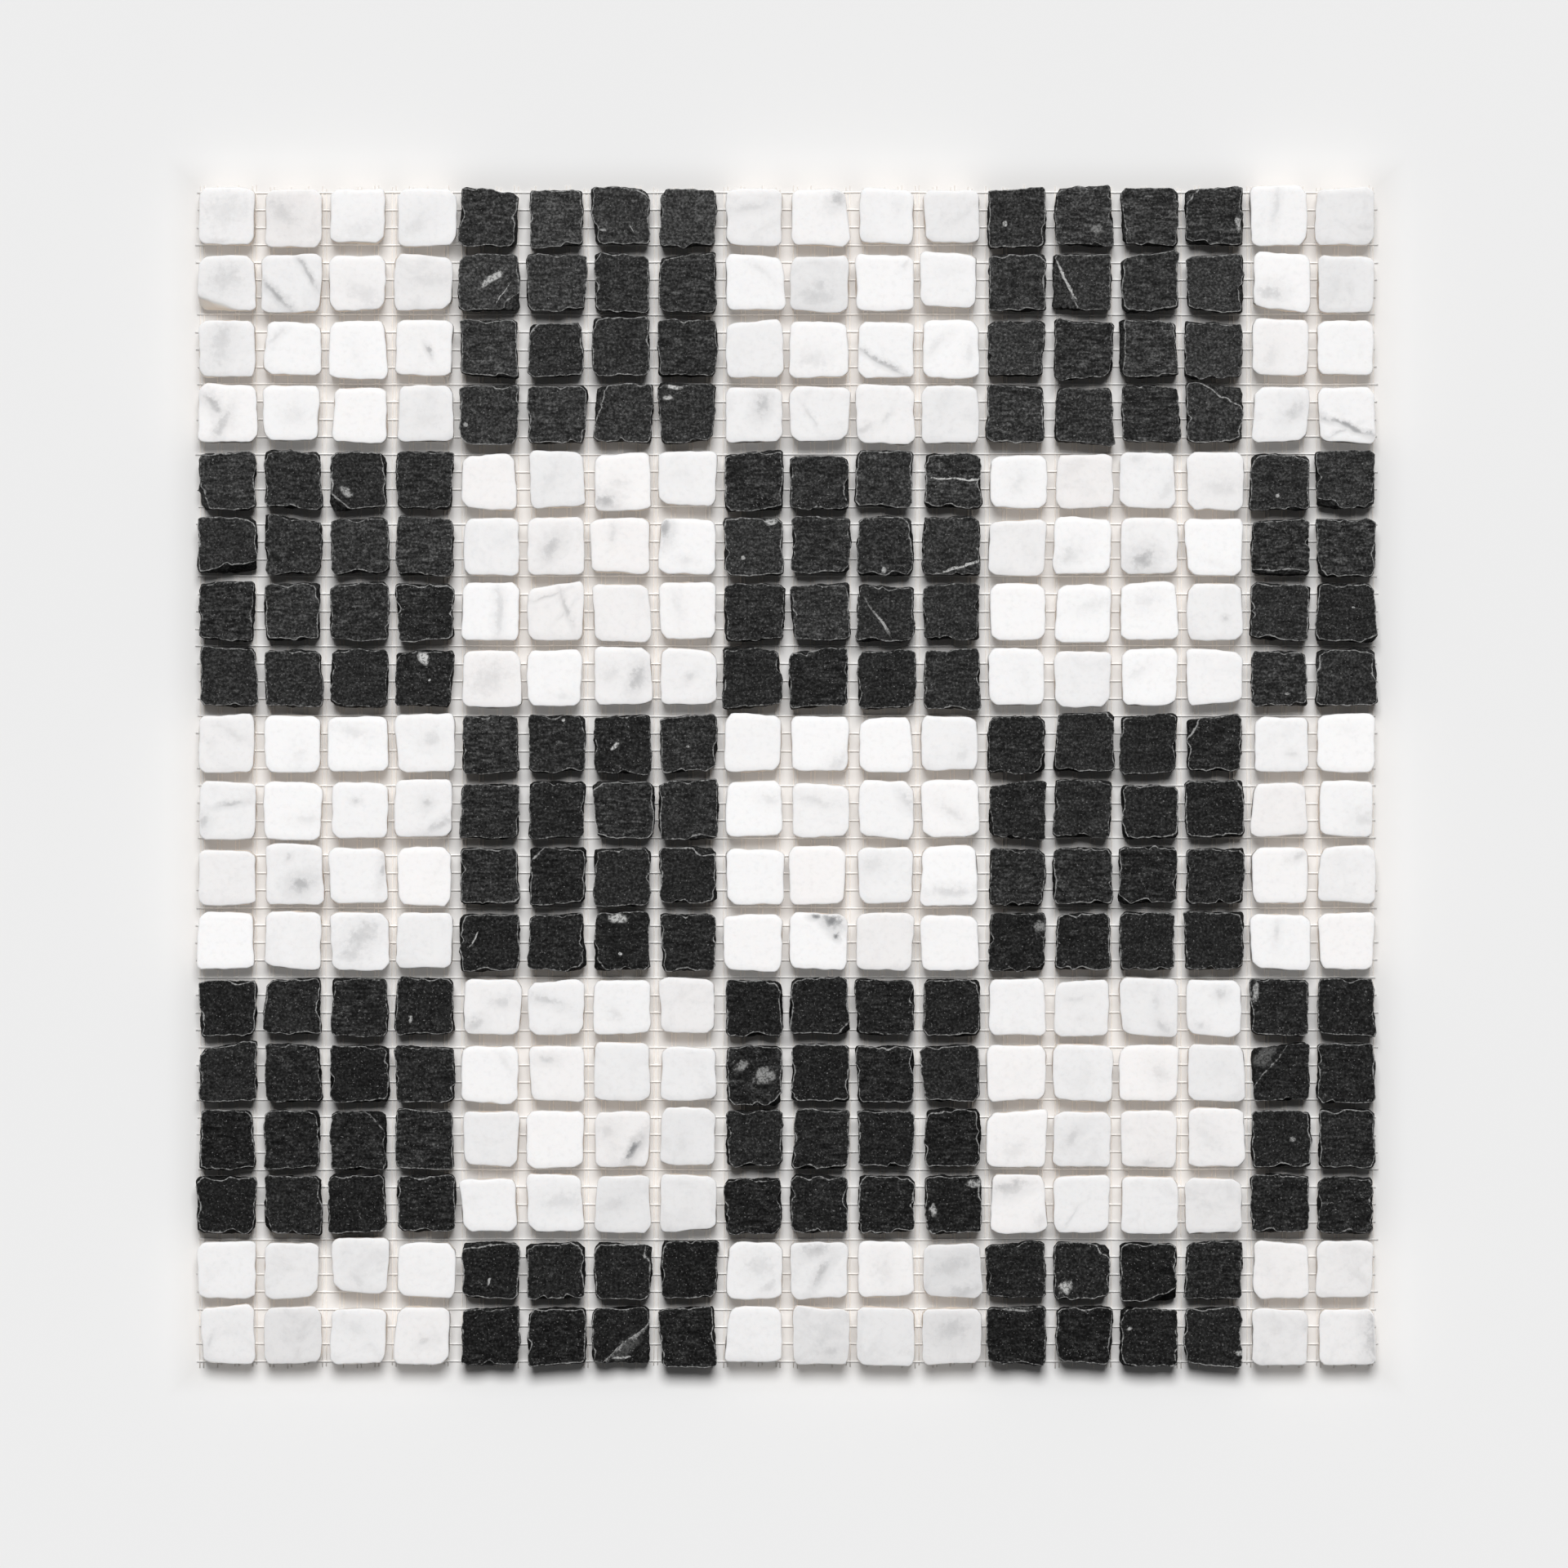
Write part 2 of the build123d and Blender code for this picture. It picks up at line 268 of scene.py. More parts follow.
# White veins and patches in black stones, in the same form
BLACK_MARKS = {
    (1, 7): ((-4.3, -3.6, 0, 0.7, 0.40, 0.60), (2.8, -3.6, -60, 1.2, 0.15, 0.50)),
    (1, 13): ((-3.0, -1.4, 0, 0.6, 0.60, 0.80),),
    (1, 14): ((2.9, -3.6, 0, 1.5, 1.00, 0.30),),
    (1, 16): ((6.2, -2.3, 85, 1.6, 0.70, 0.70),),
    (2, 5): ((0.8, 0.9, 30, 4.0, 0.90, 0.80), (3.7, -2.9, 55, 3.5, 0.15, 0.60)),
    (2, 14): ((-3.7, -0.2, -64, 6.3, 0.30, 0.80),),
    (4, 5): ((-6.0, -2.6, 0, 0.6, 0.40, 0.50),),
    (4, 8): ((-4.8, 4.3, 20, 1.3, 0.70, 0.80), (-3.0, 6.9, 0, 2.2, 0.50, 0.90)),
    (5, 3): ((-3.4, -2.7, -40, 1.8, 0.90, 0.60), (-7.0, -0.5, 90, 1.5, 0.80, 0.50)),
    (5, 12): ((0.0, 0.5, -3, 8.0, 0.28, 0.90),),
    (5, 17): ((-0.5, -3.9, 0, 0.5, 0.50, 0.70),),
    (6, 9): ((4.8, 6.3, 0, 1.5, 0.80, 0.80), (-2.7, -3.0, 0, 0.5, 0.50, 0.60)),
    (6, 11): ((-0.3, -6.2, 90, 0.8, 0.50, 0.70),),
    (6, 12): ((2.3, -5.2, 18, 5.8, 0.35, 0.85),),
    (7, 11): ((-1.6, -2.0, -55, 5.4, 0.35, 0.60),),
    (7, 18): ((2.0, 1.0, 0, 0.5, 0.30, 0.80),),
    (8, 4): ((-0.4, 5.1, -70, 1.9, 1.30, 1.00), (1.1, -0.2, 0, 0.4, 0.40, 0.80)),
    (8, 17): ((2.2, -3.8, 0, 0.7, 0.50, 0.50),),
    (9, 6): ((1.6, 5.8, 0, 0.4, 0.40, 0.90),),
    (9, 7): ((-2.0, -0.4, 40, 1.5, 0.50, 0.90),),
    (9, 8): ((-0.2, -1.0, 0, 0.5, 0.40, 0.90),),
    (12, 5): ((-3.6, 0.8, 60, 2.0, 0.25, 0.70),),
    (12, 7): ((-0.7, 5.7, 0, 2.5, 1.30, 0.80), (-0.5, -3.4, 0, 0.5, 0.40, 0.90)),
    (12, 13): ((5.7, 4.3, 45, 1.5, 1.50, 0.35),),
    (13, 4): ((-3.5, -3.5, 90, 1.0, 0.50, 0.60),),
    (13, 17): ((-6.0, 3.8, 90, 2.5, 0.80, 0.60),),
    (14, 9): ((2.6, 0.0, 0, 3.0, 2.00, 0.45), (-3.5, 2.8, 30, 2.0, 1.00, 0.40)),
    (14, 17): ((-4.3, 4.0, 45, 3.5, 1.80, 0.15),),
    (15, 17): ((2.9, 0.0, 0, 0.7, 0.50, 0.50),),
    (16, 12): ((5.8, 5.6, 0, 2.0, 1.00, 0.60), (-4.8, -1.4, 90, 1.5, 0.80, 0.70)),
    (17, 5): ((-0.5, -3.0, 60, 1.2, 0.25, 0.60),),
    (17, 7): ((1.8, 7.0, 0, 2.5, 0.50, 0.90),),
    (17, 14): ((-4.3, -4.0, 70, 2.0, 1.40, 0.80),),
    (18, 7): ((1.8, -2.9, 50, 5.0, 2.00, 0.10), (0.3, -5.7, 0, 2.5, 0.25, 0.70)),
    (18, 13): ((0.4, 6.8, 0, 4.0, 0.30, 0.50),),
    (18, 15): ((-4.9, 2.2, 0, 0.8, 0.50, 0.60),),
    (18, 16): ((6.7, -4.0, 0, 1.0, 0.70, 0.70),),
}
MARK_NAMES = ("mark_1", "mark_2", "mark_3")
NO_MARK = (0.0, 0.0, 0.0, 1.0, 1.0, 0.0)


class WhiteStoneSettings(bpy.types.PropertyGroup):
    """Shape and finish of the white stones."""

    edge_radius: bpy.props.FloatProperty(
        name="Edge radius",
        description="How far tumbling has rounded the edges and corners",
        default=0.36 * MM,
        unit="LENGTH",
    )
    waviness: bpy.props.FloatProperty(
        name="Waviness",
        description="Most that a side swings in or out of its plane",
        default=0.35 * MM,
        unit="LENGTH",
    )
    face_colour: bpy.props.FloatVectorProperty(
        name="Face colour",
        description="Clear white marble",
        subtype="COLOR",
        size=4,
        default=(0.94, 0.932, 0.933, 1.0),
    )
    # The share of this colour includes painted shade, which darkens the rows away from the middle
    dull_colour: bpy.props.FloatVectorProperty(
        name="Dull colour",
        description="Ground colour of the greyest stones",
        subtype="COLOR",
        size=4,
        default=(0.71, 0.704, 0.706, 1.0),
    )
    vein_colour: bpy.props.FloatVectorProperty(
        name="Vein colour",
        description="Grey of the veins and clouds",
        subtype="COLOR",
        size=4,
        default=(0.22, 0.22, 0.225, 1.0),
    )
    # Painted highlight: the rim of the white face is drawn lighter, where its rounded edge catches the lamp
    rim_highlight_colour: bpy.props.FloatVectorProperty(
        name="Rim colour",
        description="Bruised white of the worn edges",
        subtype="COLOR",
        size=4,
        default=(0.93, 0.925, 0.92, 1.0),
    )
    # Painted glow: the sides are drawn warm and bright to stand for light that shines through the marble
    # into its shaded sides and joints
    side_glow_colour: bpy.props.FloatVectorProperty(
        name="Side colour",
        description="Warm white of the unpolished sides",
        subtype="COLOR",
        size=4,
        default=(0.985, 0.895, 0.81, 1.0),
    )
    warm_colour: bpy.props.FloatVectorProperty(
        name="Warm colour",
        description="Tint of the warmest stones",
        subtype="COLOR",
        size=4,
        default=(0.90, 0.862, 0.845, 1.0),
    )


class BlackStoneSettings(bpy.types.PropertyGroup):
    """Shape and finish of the black stones."""

    edge_radius: bpy.props.FloatProperty(
        name="Edge radius",
        description="How far tumbling has blunted the edges",
        default=0.15 * MM,
        unit="LENGTH",
    )
    dent_depth: bpy.props.FloatProperty(
        name="Dent depth",
        description="Most that the broken sides are hollowed between their ridges",
        default=1.0 * MM,
        unit="LENGTH",
    )
    flake_count: bpy.props.IntProperty(
        name="Flakes",
        description="Most flakes that are broken from the edge of one face",
        default=7,
        min=2,
    )
    face_colour: bpy.props.FloatVectorProperty(
        name="Face colour",
        description="Ground colour of the black marble",
        subtype="COLOR",
        size=4,
        default=(0.001, 0.001, 0.001, 1.0),
    )
    grain_colour: bpy.props.FloatVectorProperty(
        name="Grain colour",
        description="Grey of the bruised grains",
        subtype="COLOR",
        size=4,
        default=(0.13, 0.13, 0.129, 1.0),
    )
    worn_colour: bpy.props.FloatVectorProperty(
        name="Worn colour",
        description="Light grey of worn edges",
        subtype="COLOR",
        size=4,
        default=(0.32, 0.32, 0.316, 1.0),
    )
    vein_colour: bpy.props.FloatVectorProperty(
        name="Vein colour",
        description="White of the veins and patches",
        subtype="COLOR",
        size=4,
        default=(0.62, 0.62, 0.61, 1.0),
    )


class NetSettings(bpy.types.PropertyGroup):
    """Shape and finish of the net."""

    sway: bpy.props.FloatProperty(
        name="Sway",
        description="Most that a thread wanders from its straight line",
        default=0.22 * MM,
        unit="LENGTH",
    )
    weft_colour: bpy.props.FloatVectorProperty(
        name="Weft colour",
        description="White glass fibre of the threads along the rows",
        subtype="COLOR",
        size=4,
        default=(0.97, 0.96, 0.945, 1.0),
    )
    warp_colour: bpy.props.FloatVectorProperty(
        name="Warp colour",
        description="Resin-soaked fibre of the pairs along the columns",
        subtype="COLOR",
        size=4,
        default=(0.89, 0.845, 0.795, 1.0),
    )


class ResinSettings(bpy.types.PropertyGroup):
    """Resin at the knots of the net, and the adhesive on the stones' backs."""

    knot_length: bpy.props.FloatProperty(
        name="Knot length",
        description="Half length of a drop of resin, across a pair of threads",
        default=0.8 * MM,
        unit="LENGTH",
    )
    knot_width: bpy.props.FloatProperty(
        name="Knot width",
        description="Half width of a drop of resin, along a pair of threads",
        default=0.36 * MM,
        unit="LENGTH",
    )
    knot_colour: bpy.props.FloatVectorProperty(
        name="Knot colour",
        description="Glossy resin",
        subtype="COLOR",
        size=4,
        default=(0.97, 0.955, 0.93, 1.0),
    )
    adhesive_colour: bpy.props.FloatVectorProperty(
        name="Adhesive colour",
        description="Cured adhesive smeared over the backs of the stones",
        subtype="COLOR",
        size=4,
        default=(0.74, 0.70, 0.64, 1.0),
    )


class StageSettings(bpy.types.PropertyGroup):
    """Floor, light and camera."""

    floor_size: bpy.props.FloatProperty(
        name="Floor size",
        description="Side of the square floor",
        default=8.0,
        unit="LENGTH",
    )
    floor_colour: bpy.props.FloatVectorProperty(
        name="Floor colour",
        description="Plain pale floor",
        subtype="COLOR",
        size=4,
        default=(0.85, 0.85, 0.85, 1.0),
    )
    # Painted shade: the floor under the sheet and just past its edge is darker, which dims the joints and
    # the light that the stones throw on the floor
    under_sheet_shade_colour: bpy.props.FloatVectorProperty(
        name="Joint colour",
        description="The floor under the sheet, which shows between the stones",
        subtype="COLOR",
        size=4,
        default=(0.73, 0.72, 0.71, 1.0),
    )
    key_strength: bpy.props.FloatProperty(
        name="Key strength",
        description="Light from above that a level surface gets, as a share of what makes white paper white",
        default=0.9,
    )
    key_breadth: bpy.props.FloatProperty(
        name="Key breadth",
        description="Angle that each soft lamp fills in the sky",
        default=math.radians(25),
        subtype="ANGLE",
    )
    shine_through: bpy.props.FloatProperty(
        name="Shine through",
        description="Share of the lamp's light that passes through the white stones",
        subtype="FACTOR",
        default=0.18,
    )
    key_lean: bpy.props.FloatProperty(
        name="Key lean",
        description="How far the lamps are from overhead, towards the far edge",
        default=math.radians(24),
        subtype="ANGLE",
    )
    ambient: bpy.props.FloatProperty(
        name="Ambient",
        description="Light from all round that a level surface gets, as the same share",
        default=0.1,
    )
    camera_height: bpy.props.FloatProperty(
        name="Camera height",
        description="Distance from the stones' faces to the camera",
        default=4.0,
        unit="LENGTH",
    )
    camera_right: bpy.props.FloatProperty(
        name="Camera right",
        description="How far the camera is to the right of the sheet's middle",
        default=-0.7 * MM,
        unit="LENGTH",
    )
    camera_up: bpy.props.FloatProperty(
        name="Camera up",
        description="How far the camera is from the sheet's middle towards the far edge",
        default=-1.86 * MM,
        unit="LENGTH",
    )
    picture_span: bpy.props.FloatProperty(
        name="Picture span",
        description="Width of the picture at the stones' faces",
        default=403.6 * MM,
        unit="LENGTH",
    )


class NodeTree:
    """Adds linked nodes to a material or a node group."""

    def __init__(self, tree):
        self.nodes = tree.nodes
        self.links = tree.links

    def feed(self, socket, value):
        """Links a socket to another, or sets its value."""
        if isinstance(value, bpy.types.NodeSocket):
            self.links.new(value, socket)
        else:
            socket.default_value = value

    def add(self, kind, inputs=None, **settings):
        """A new node of a kind, with its settings and inputs."""
        node = self.nodes.new(kind)
        for name, value in settings.items():
            setattr(node, name, value)
        for name, value in (inputs or {}).items():
            self.feed(node.inputs[name], value)
        return node

    def place(self):
        """Object coordinates."""
        return self.add("ShaderNodeTexCoord").outputs["Object"]

    def read(self, attribute):
        """The four values that the mesh stores for each point under that name."""
        stored = self.add("ShaderNodeAttribute", attribute_name=attribute).outputs
        first = self.add("ShaderNodeSeparateXYZ", {"Vector": stored["Vector"]}).outputs
        return first["X"], first["Y"], first["Z"], stored["Alpha"]

    def noise(self, place, size, detail=2.0, roughness=0.5, distortion=0.0):
        """Smooth noise with features of that size."""
        inputs = {
            "Vector": place,
            "Scale": 1 / size,
            "Detail": detail,
            "Roughness": roughness,
            "Distortion": distortion,
        }
        return self.add("ShaderNodeTexNoise", inputs).outputs["Fac"]

    def math(self, operation, first, second=0.0):
        """One sum."""
        node = self.add("ShaderNodeMath", operation=operation)
        self.feed(node.inputs[0], first)
        self.feed(node.inputs[1], second)
        return node.outputs[0]

    def step(self, value, low, high, bottom=0.0, top=1.0):
        """A smooth step from bottom to top as the value goes from low to high."""
        inputs = {"Value": value, "From Min": low, "From Max": high, "To Min": bottom, "To Max": top}
        node = self.add("ShaderNodeMapRange", inputs, interpolation_type="SMOOTHSTEP")
        return node.outputs["Result"]

    def mix(self, share, first, second):
        """One colour over another."""
        node = self.add("ShaderNodeMix", data_type="RGBA")
        sockets = {socket.identifier: socket for socket in node.inputs}
        self.feed(sockets["Factor_Float"], share)
        self.feed(sockets["A_Color"], first)
        self.feed(sockets["B_Color"], second)
        return next(s for s in node.outputs if s.identifier == "Result_Color")

    def group(self, name, **inputs):
        """A node group with its own values."""
        node = self.nodes.new("ShaderNodeGroup")
        node.node_tree = bpy.data.node_groups[name]
        for socket, value in inputs.items():
            self.feed(node.inputs[socket], value)
        return node.outputs


def new_group(name, inputs, outputs):
    """An empty shader node group with float sockets, and its input and output nodes."""
    tree = bpy.data.node_groups.new(name, "ShaderNodeTree")
    for socket in inputs:
        tree.interface.new_socket(socket, in_out="INPUT", socket_type="NodeSocketFloat")
    for socket in outputs:
        tree.interface.new_socket(socket, in_out="OUTPUT", socket_type="NodeSocketFloat")
    nodes = NodeTree(tree)
    return nodes, nodes.add("NodeGroupInput").outputs, nodes.add("NodeGroupOutput").inputs


def make_marks_group():
    """A mask of the marks whose places the stones' meshes store, which wander and fray."""
    nodes, given, found = new_group("Marks", ["Wander", "Fray", "Core", "Rim"], ["Mask", "Haze"])
    place = nodes.place()
    bend = nodes.math("SUBTRACT", nodes.noise(place, 6 * MM, 5, 0.6), 0.5)
    bend = nodes.math("MULTIPLY", bend, given["Wander"])
    slip = nodes.math("SUBTRACT", nodes.noise(place, 3.7 * MM, 3, 0.6), 0.5)
    fray = nodes.math("SUBTRACT", nodes.noise(place, 1.5 * MM, 5, 0.65), 0.5)
    fray = nodes.math("MULTIPLY", fray, given["Fray"])
    mask = 0.0
    haze = 0.0
    for name in MARK_NAMES:
        along, across, half_width, strength = nodes.read(name)
        across = nodes.math("DIVIDE", nodes.math("ADD", across, bend), half_width)
        out = {"X": nodes.math("ADD", along, slip), "Y": across}
        out = nodes.add("ShaderNodeCombineXYZ", out).outputs["Vector"]
        reach = nodes.add("ShaderNodeVectorMath", {0: out}, operation="LENGTH").outputs["Value"]
        reach = nodes.math("ADD", reach, fray)
        shade = nodes.step(reach, given["Core"], given["Rim"], 1, 0)
        mask = nodes.math("MAXIMUM", mask, nodes.math("MULTIPLY", shade, strength))
        shade = nodes.step(reach, 0.0, 3.5, 1, 0)
        haze = nodes.math("MAXIMUM", haze, nodes.math("MULTIPLY", shade, strength))
    nodes.feed(found["Mask"], mask)
    nodes.feed(found["Haze"], haze)


def make_smear_group():
    """A mask of the smears that adhesive leaves."""
    nodes, given, found = new_group("Smear", ["Amount"], ["Mask"])
    place = nodes.place()
    smear = nodes.noise(place, 3 * MM, 3, 0.55, 0.6)
    low = nodes.math("SUBTRACT", 0.75, given["Amount"])
    nodes.feed(found["Mask"], nodes.step(smear, low, nodes.math("ADD", low, 0.18)))


def new_material(name):
    """An empty material, its node adder and its shader."""
    material = bpy.data.materials.new(name)
    material.use_nodes = True
    material.node_tree.nodes.clear()
    nodes = NodeTree(material.node_tree)
    shader = nodes.add("ShaderNodeBsdfPrincipled")
    nodes.add("ShaderNodeOutputMaterial", {"Surface": shader.outputs["BSDF"]})
    return material, nodes, shader.inputs


def smear_back(nodes, colour, side, adhesive_colour):
    """A colour with adhesive smeared over the back of the stone."""
    smear = nodes.group("Smear", Amount=0.3)["Mask"]
    smear = nodes.math("MULTIPLY", smear, nodes.step(side, 1.2, 1.9))
    return nodes.mix(smear, colour, adhesive_colour)


def make_white_marble(settings, adhesive_colour):
    """Honed white marble with grey clouds and veins, duller and warmer on its sides, where a glow of light
    through the marble is painted; its rim is a painted highlight, and the rows away from the middle carry
    painted shade.
    """
    material, nodes, shader = new_material("white_marble")
    place = nodes.place()
    dull, worn_and_highlit, side, warmth = nodes.read("stone")
    marks = nodes.group("Marks", Wander=4.0, Fray=2.4, Core=0.0, Rim=1.9)
    cloud = nodes.step(nodes.noise(place, 8 * MM, 5, 0.6, 0.6), 0.45, 0.8, 0.0, 0.3)
    mottle = nodes.step(nodes.noise(place, 1.4 * MM, 4, 0.65), 0.45, 0.8, 0.0, 0.1)
    grey = nodes.math("MAXIMUM", marks["Mask"], nodes.math("MULTIPLY", marks["Haze"], 0.45))
    # Clouds grow with dullness, which includes the painted shade of the rows
    grey = nodes.math("MAXIMUM", grey, nodes.math("MULTIPLY", cloud, dull))
    grey = nodes.math("ADD", grey, mottle)
    crystal = nodes.step(nodes.noise(place, 0.5 * MM, 3, 0.65), 0.54, 0.74)
    # Ground darkened by dullness: the stone's own tone and the painted shade of light falloff across the
    # rows
    ground = nodes.mix(dull, settings.face_colour, settings.dull_colour)
    ground = nodes.mix(warmth, ground, settings.warm_colour)
    face = nodes.mix(grey, ground, settings.vein_colour)
    # Painted highlight along the rim of the face
    face = nodes.mix(nodes.math("MULTIPLY", worn_and_highlit, 0.8), face, settings.rim_highlight_colour)
    # Sides in the painted warm glow of light through the marble
    colour = nodes.mix(nodes.step(side, 0, 1), face, settings.side_glow_colour)
    nodes.feed(shader["Base Color"], smear_back(nodes, colour, side, adhesive_colour))
    nodes.feed(shader["Roughness"], nodes.step(crystal, 0, 1, 0.5, 0.38))
    relief = nodes.math("ADD", nodes.noise(place, 2.5 * MM, 3), nodes.math("MULTIPLY", crystal, 0.2))
    bump = nodes.add("ShaderNodeBump", {"Strength": 0.25, "Distance": 0.12 * MM, "Height": relief})
    nodes.feed(shader["Normal"], bump.outputs["Normal"])
    shader["Subsurface Weight"].default_value = 0.2
    shader["Subsurface Radius"].default_value = (1.0, 0.85, 0.75)
    shader["Subsurface Scale"].default_value = 1.5 * MM
    return material


def make_black_marble(settings, adhesive_colour):
    """Black marble bruised by tumbling: grey grains in saw marks, light worn edges and white veins."""
    material, nodes, shader = new_material("black_marble")
    place = nodes.place()
    tone_and_painted_light, worn_and_highlit, side, sawn = nodes.read("stone")
    marks = nodes.group("Marks", Wander=3.0, Fray=1.8, Core=0.6, Rim=1.25)["Mask"]
    along = nodes.add("ShaderNodeMapping", {"Vector": place, "Scale": (0.25, 1.0, 1.0)}).outputs["Vector"]
    saw = nodes.math("SUBTRACT", nodes.noise(along, 0.75 * MM, 2), 0.5)
    saw = nodes.math("MULTIPLY", saw, sawn)
    grain = nodes.math("SUBTRACT", nodes.noise(place, 0.66 * MM, 3, 0.6), 0.5)
    cluster = nodes.math("SUBTRACT", nodes.noise(place, 3.0 * MM, 3, 0.6), 0.5)
    rough = nodes.math("ADD", nodes.math("MULTIPLY", grain, 0.58), nodes.math("MULTIPLY", saw, 0.48))
    rough = nodes.math("ADD", rough, nodes.math("MULTIPLY", cluster, 0.15))
    # The grains are lightened by the stone's tone, which carries the painted sheen of the far rows
    bruise = nodes.math("MULTIPLY", nodes.math("POWER", GRAIN_CONTRAST, rough), tone_and_painted_light)
    speck = nodes.step(nodes.noise(place, 0.5 * MM, 1, 0.5), 0.67, 0.79, 0.0, 0.5)
    colour = nodes.mix(bruise, settings.face_colour, settings.grain_colour)
    colour = nodes.mix(speck, colour, settings.worn_colour)
    crumble = nodes.math("SUBTRACT", nodes.noise(place, 0.8 * MM, 4, 0.65), 0.5)
    rub = nodes.step(nodes.math("ADD", worn_and_highlit, nodes.math("MULTIPLY", crumble, 2.4)), 0.24, 0.95)
    colour = nodes.mix(rub, colour, settings.worn_colour)
    crumb = nodes.step(nodes.noise(place, 0.6 * MM, 3, 0.6), 0.36, 0.56, 0.25, 1.0)
    colour = nodes.mix(nodes.math("MULTIPLY", marks, crumb), colour, settings.vein_colour)
    nodes.feed(shader["Base Color"], smear_back(nodes, colour, side, adhesive_colour))
    nodes.feed(shader["Roughness"], nodes.step(rough, -0.2, 0.2, 0.6, 0.8))
    shader["Specular IOR Level"].default_value = 0.02
    relief = nodes.math("ADD", nodes.noise(place, 0.8 * MM, 4, 0.65), nodes.math("MULTIPLY", saw, 0.3))
    bump = nodes.add("ShaderNodeBump", {"Strength": 0.5, "Distance": 0.2 * MM, "Height": relief})
    nodes.feed(shader["Normal"], bump.outputs["Normal"])
    return material


def make_fibre(name, bright):
    """Resin-soaked glass fibre: pale and glossy, with streaks along the yarn."""
    material, nodes, shader = new_material(name)
    place = nodes.place()
    streak = nodes.noise(place, 0.6 * MM, 3, 0.6)
    smear = nodes.group("Smear", Amount=0.25)["Mask"]
    dull = tuple(0.93 * share for share in bright[:3]) + (1.0,)
    colour = nodes.mix(nodes.step(streak, 0.35, 0.65), dull, bright)
    nodes.feed(shader["Base Color"], colour)
    nodes.feed(shader["Roughness"], nodes.step(smear, 0, 1, 0.4, 0.2))
    bump = nodes.add("ShaderNodeBump", {"Strength": 0.3, "Distance": 0.05 * MM, "Height": streak})
    nodes.feed(shader["Normal"], bump.outputs["Normal"])
    return material


def make_groups():
    """The node groups that the materials share, made once."""
    if "Marks" not in bpy.data.node_groups:
        make_marks_group()
        make_smear_group()


class Stone:
    """One flat-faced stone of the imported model, measured from the middle of its back."""

    def __init__(self, solid):
        corners = np.array([vertex.co for vertex in solid.data.vertices])
        low = corners.min(axis=0)
        high = corners.max(axis=0)
        self.middle = np.array(((low[0] + high[0]) / 2, (low[1] + high[1]) / 2, low[2]))
        self.thickness = high[2] - low[2]
        self.normals = np.array([face.normal for face in solid.data.polygons])
        centres = np.array([face.center for face in solid.data.polygons]) - self.middle
        self.offsets = (self.normals * centres).sum(axis=1)
        self.column = round(self.middle[0] / PITCH + (COLUMNS + 1) / 2)
        self.row = round((ROWS + 1) / 2 - self.middle[1] / PITCH)
        self.draw = np.random.default_rng((SEED, self.row, self.column))

    def leave_out_bevels(self):
        """Takes off the bevels round the face, where the edge is worn round instead."""
        kept = np.abs(self.normals[:, 2] - math.cos(BEVEL_SLOPE)) > BEVEL_MATCH
        self.normals = self.normals[kept]
        self.offsets = self.offsets[kept]

    def reach(self, heading, height):
        """How far out the stone goes along each heading, at a height above its back."""
        outward = self.normals[:, :2] @ heading.T
        room = (self.offsets - self.normals[:, 2] * height)[:, None]
        return np.where(outward > LEAST, room / np.maximum(outward, LEAST), np.inf).min(axis=0)

    def divide(self, count):
        """Sets directions from the middle that divide the outline into equal lengths."""
        turns = np.linspace(0, 2 * np.pi, OUTLINE_STEPS + 1)
        heading = np.column_stack((np.cos(turns), np.sin(turns)))
        outline = heading * self.reach(heading, self.thickness / 2)[:, None]
        steps = np.linalg.norm(np.diff(outline, axis=0), axis=1)
        length = np.concatenate(([0.0], np.cumsum(steps)))
        self.turns = np.interp(np.arange(count) / count * length[-1], length, turns)
        self.heading = np.column_stack((np.cos(self.turns), np.sin(self.turns)))

    def rings(self):
        """Rings of points on the flat faces, from the middle of the face to the middle of the back."""
        heading = self.heading
        face = self.reach(heading, self.thickness)
        rings = [(face * share, self.thickness) for share in FACE_SHARES]
        rings.append((face - EDGE_INSET, self.thickness))
        heights = [self.thickness - depth for depth in (0.0, *EDGE_DEPTHS)]
        heights += [self.thickness * share for share in SIDE_SHARES]
        rings += [(self.reach(heading, height), height) for height in heights]
        rings.append((self.reach(heading, 0.0) - BACK_INSET, 0.0))
        points = np.empty((len(rings), len(heading), 3))
        for ring, (reach, height) in zip(points, rings):
            ring[:, :2] = heading * reach[:, None]
            ring[:, 2] = height
        return points

    def round_off(self, points, radius):
        """Those points moved in to where the edges and corners are worn round."""
        sharpness = ROUNDING / radius
        hub = np.array((0.0, 0.0, self.thickness / 2))
        ray = points - hub
        speed = ray @ self.normals.T
        slack = self.offsets - self.normals @ hub
        share = np.ones(points.shape[:-1])
        for _ in range(ROUNDING_STEPS):
            depth = sharpness * (share[..., None] * speed - slack)
            highest = depth.max(axis=-1)
            weight = np.exp(depth - highest[..., None])
            total = weight.sum(axis=-1)
            slope = sharpness * (weight * speed).sum(axis=-1) / total
            share = share - (highest + np.log(total)) / slope
        return hub + ray * share[..., None]


def field(points, size, measure):
    """A noise measured at each point, with features of that size."""
    flat = (points / size).reshape(-1, 3)
    return np.array([measure(Vector(point)) for point in flat]).reshape(points.shape[:-1])


def hollow(point):
    """How far out broken stone stands: least in the middle of a hollow, most on the ridges between."""
    distances, _ = noise.voronoi(point, distance_metric="DISTANCE_SQUARED")
    return min(distances[0], HOLLOW_RIM) - HOLLOW_LEVEL


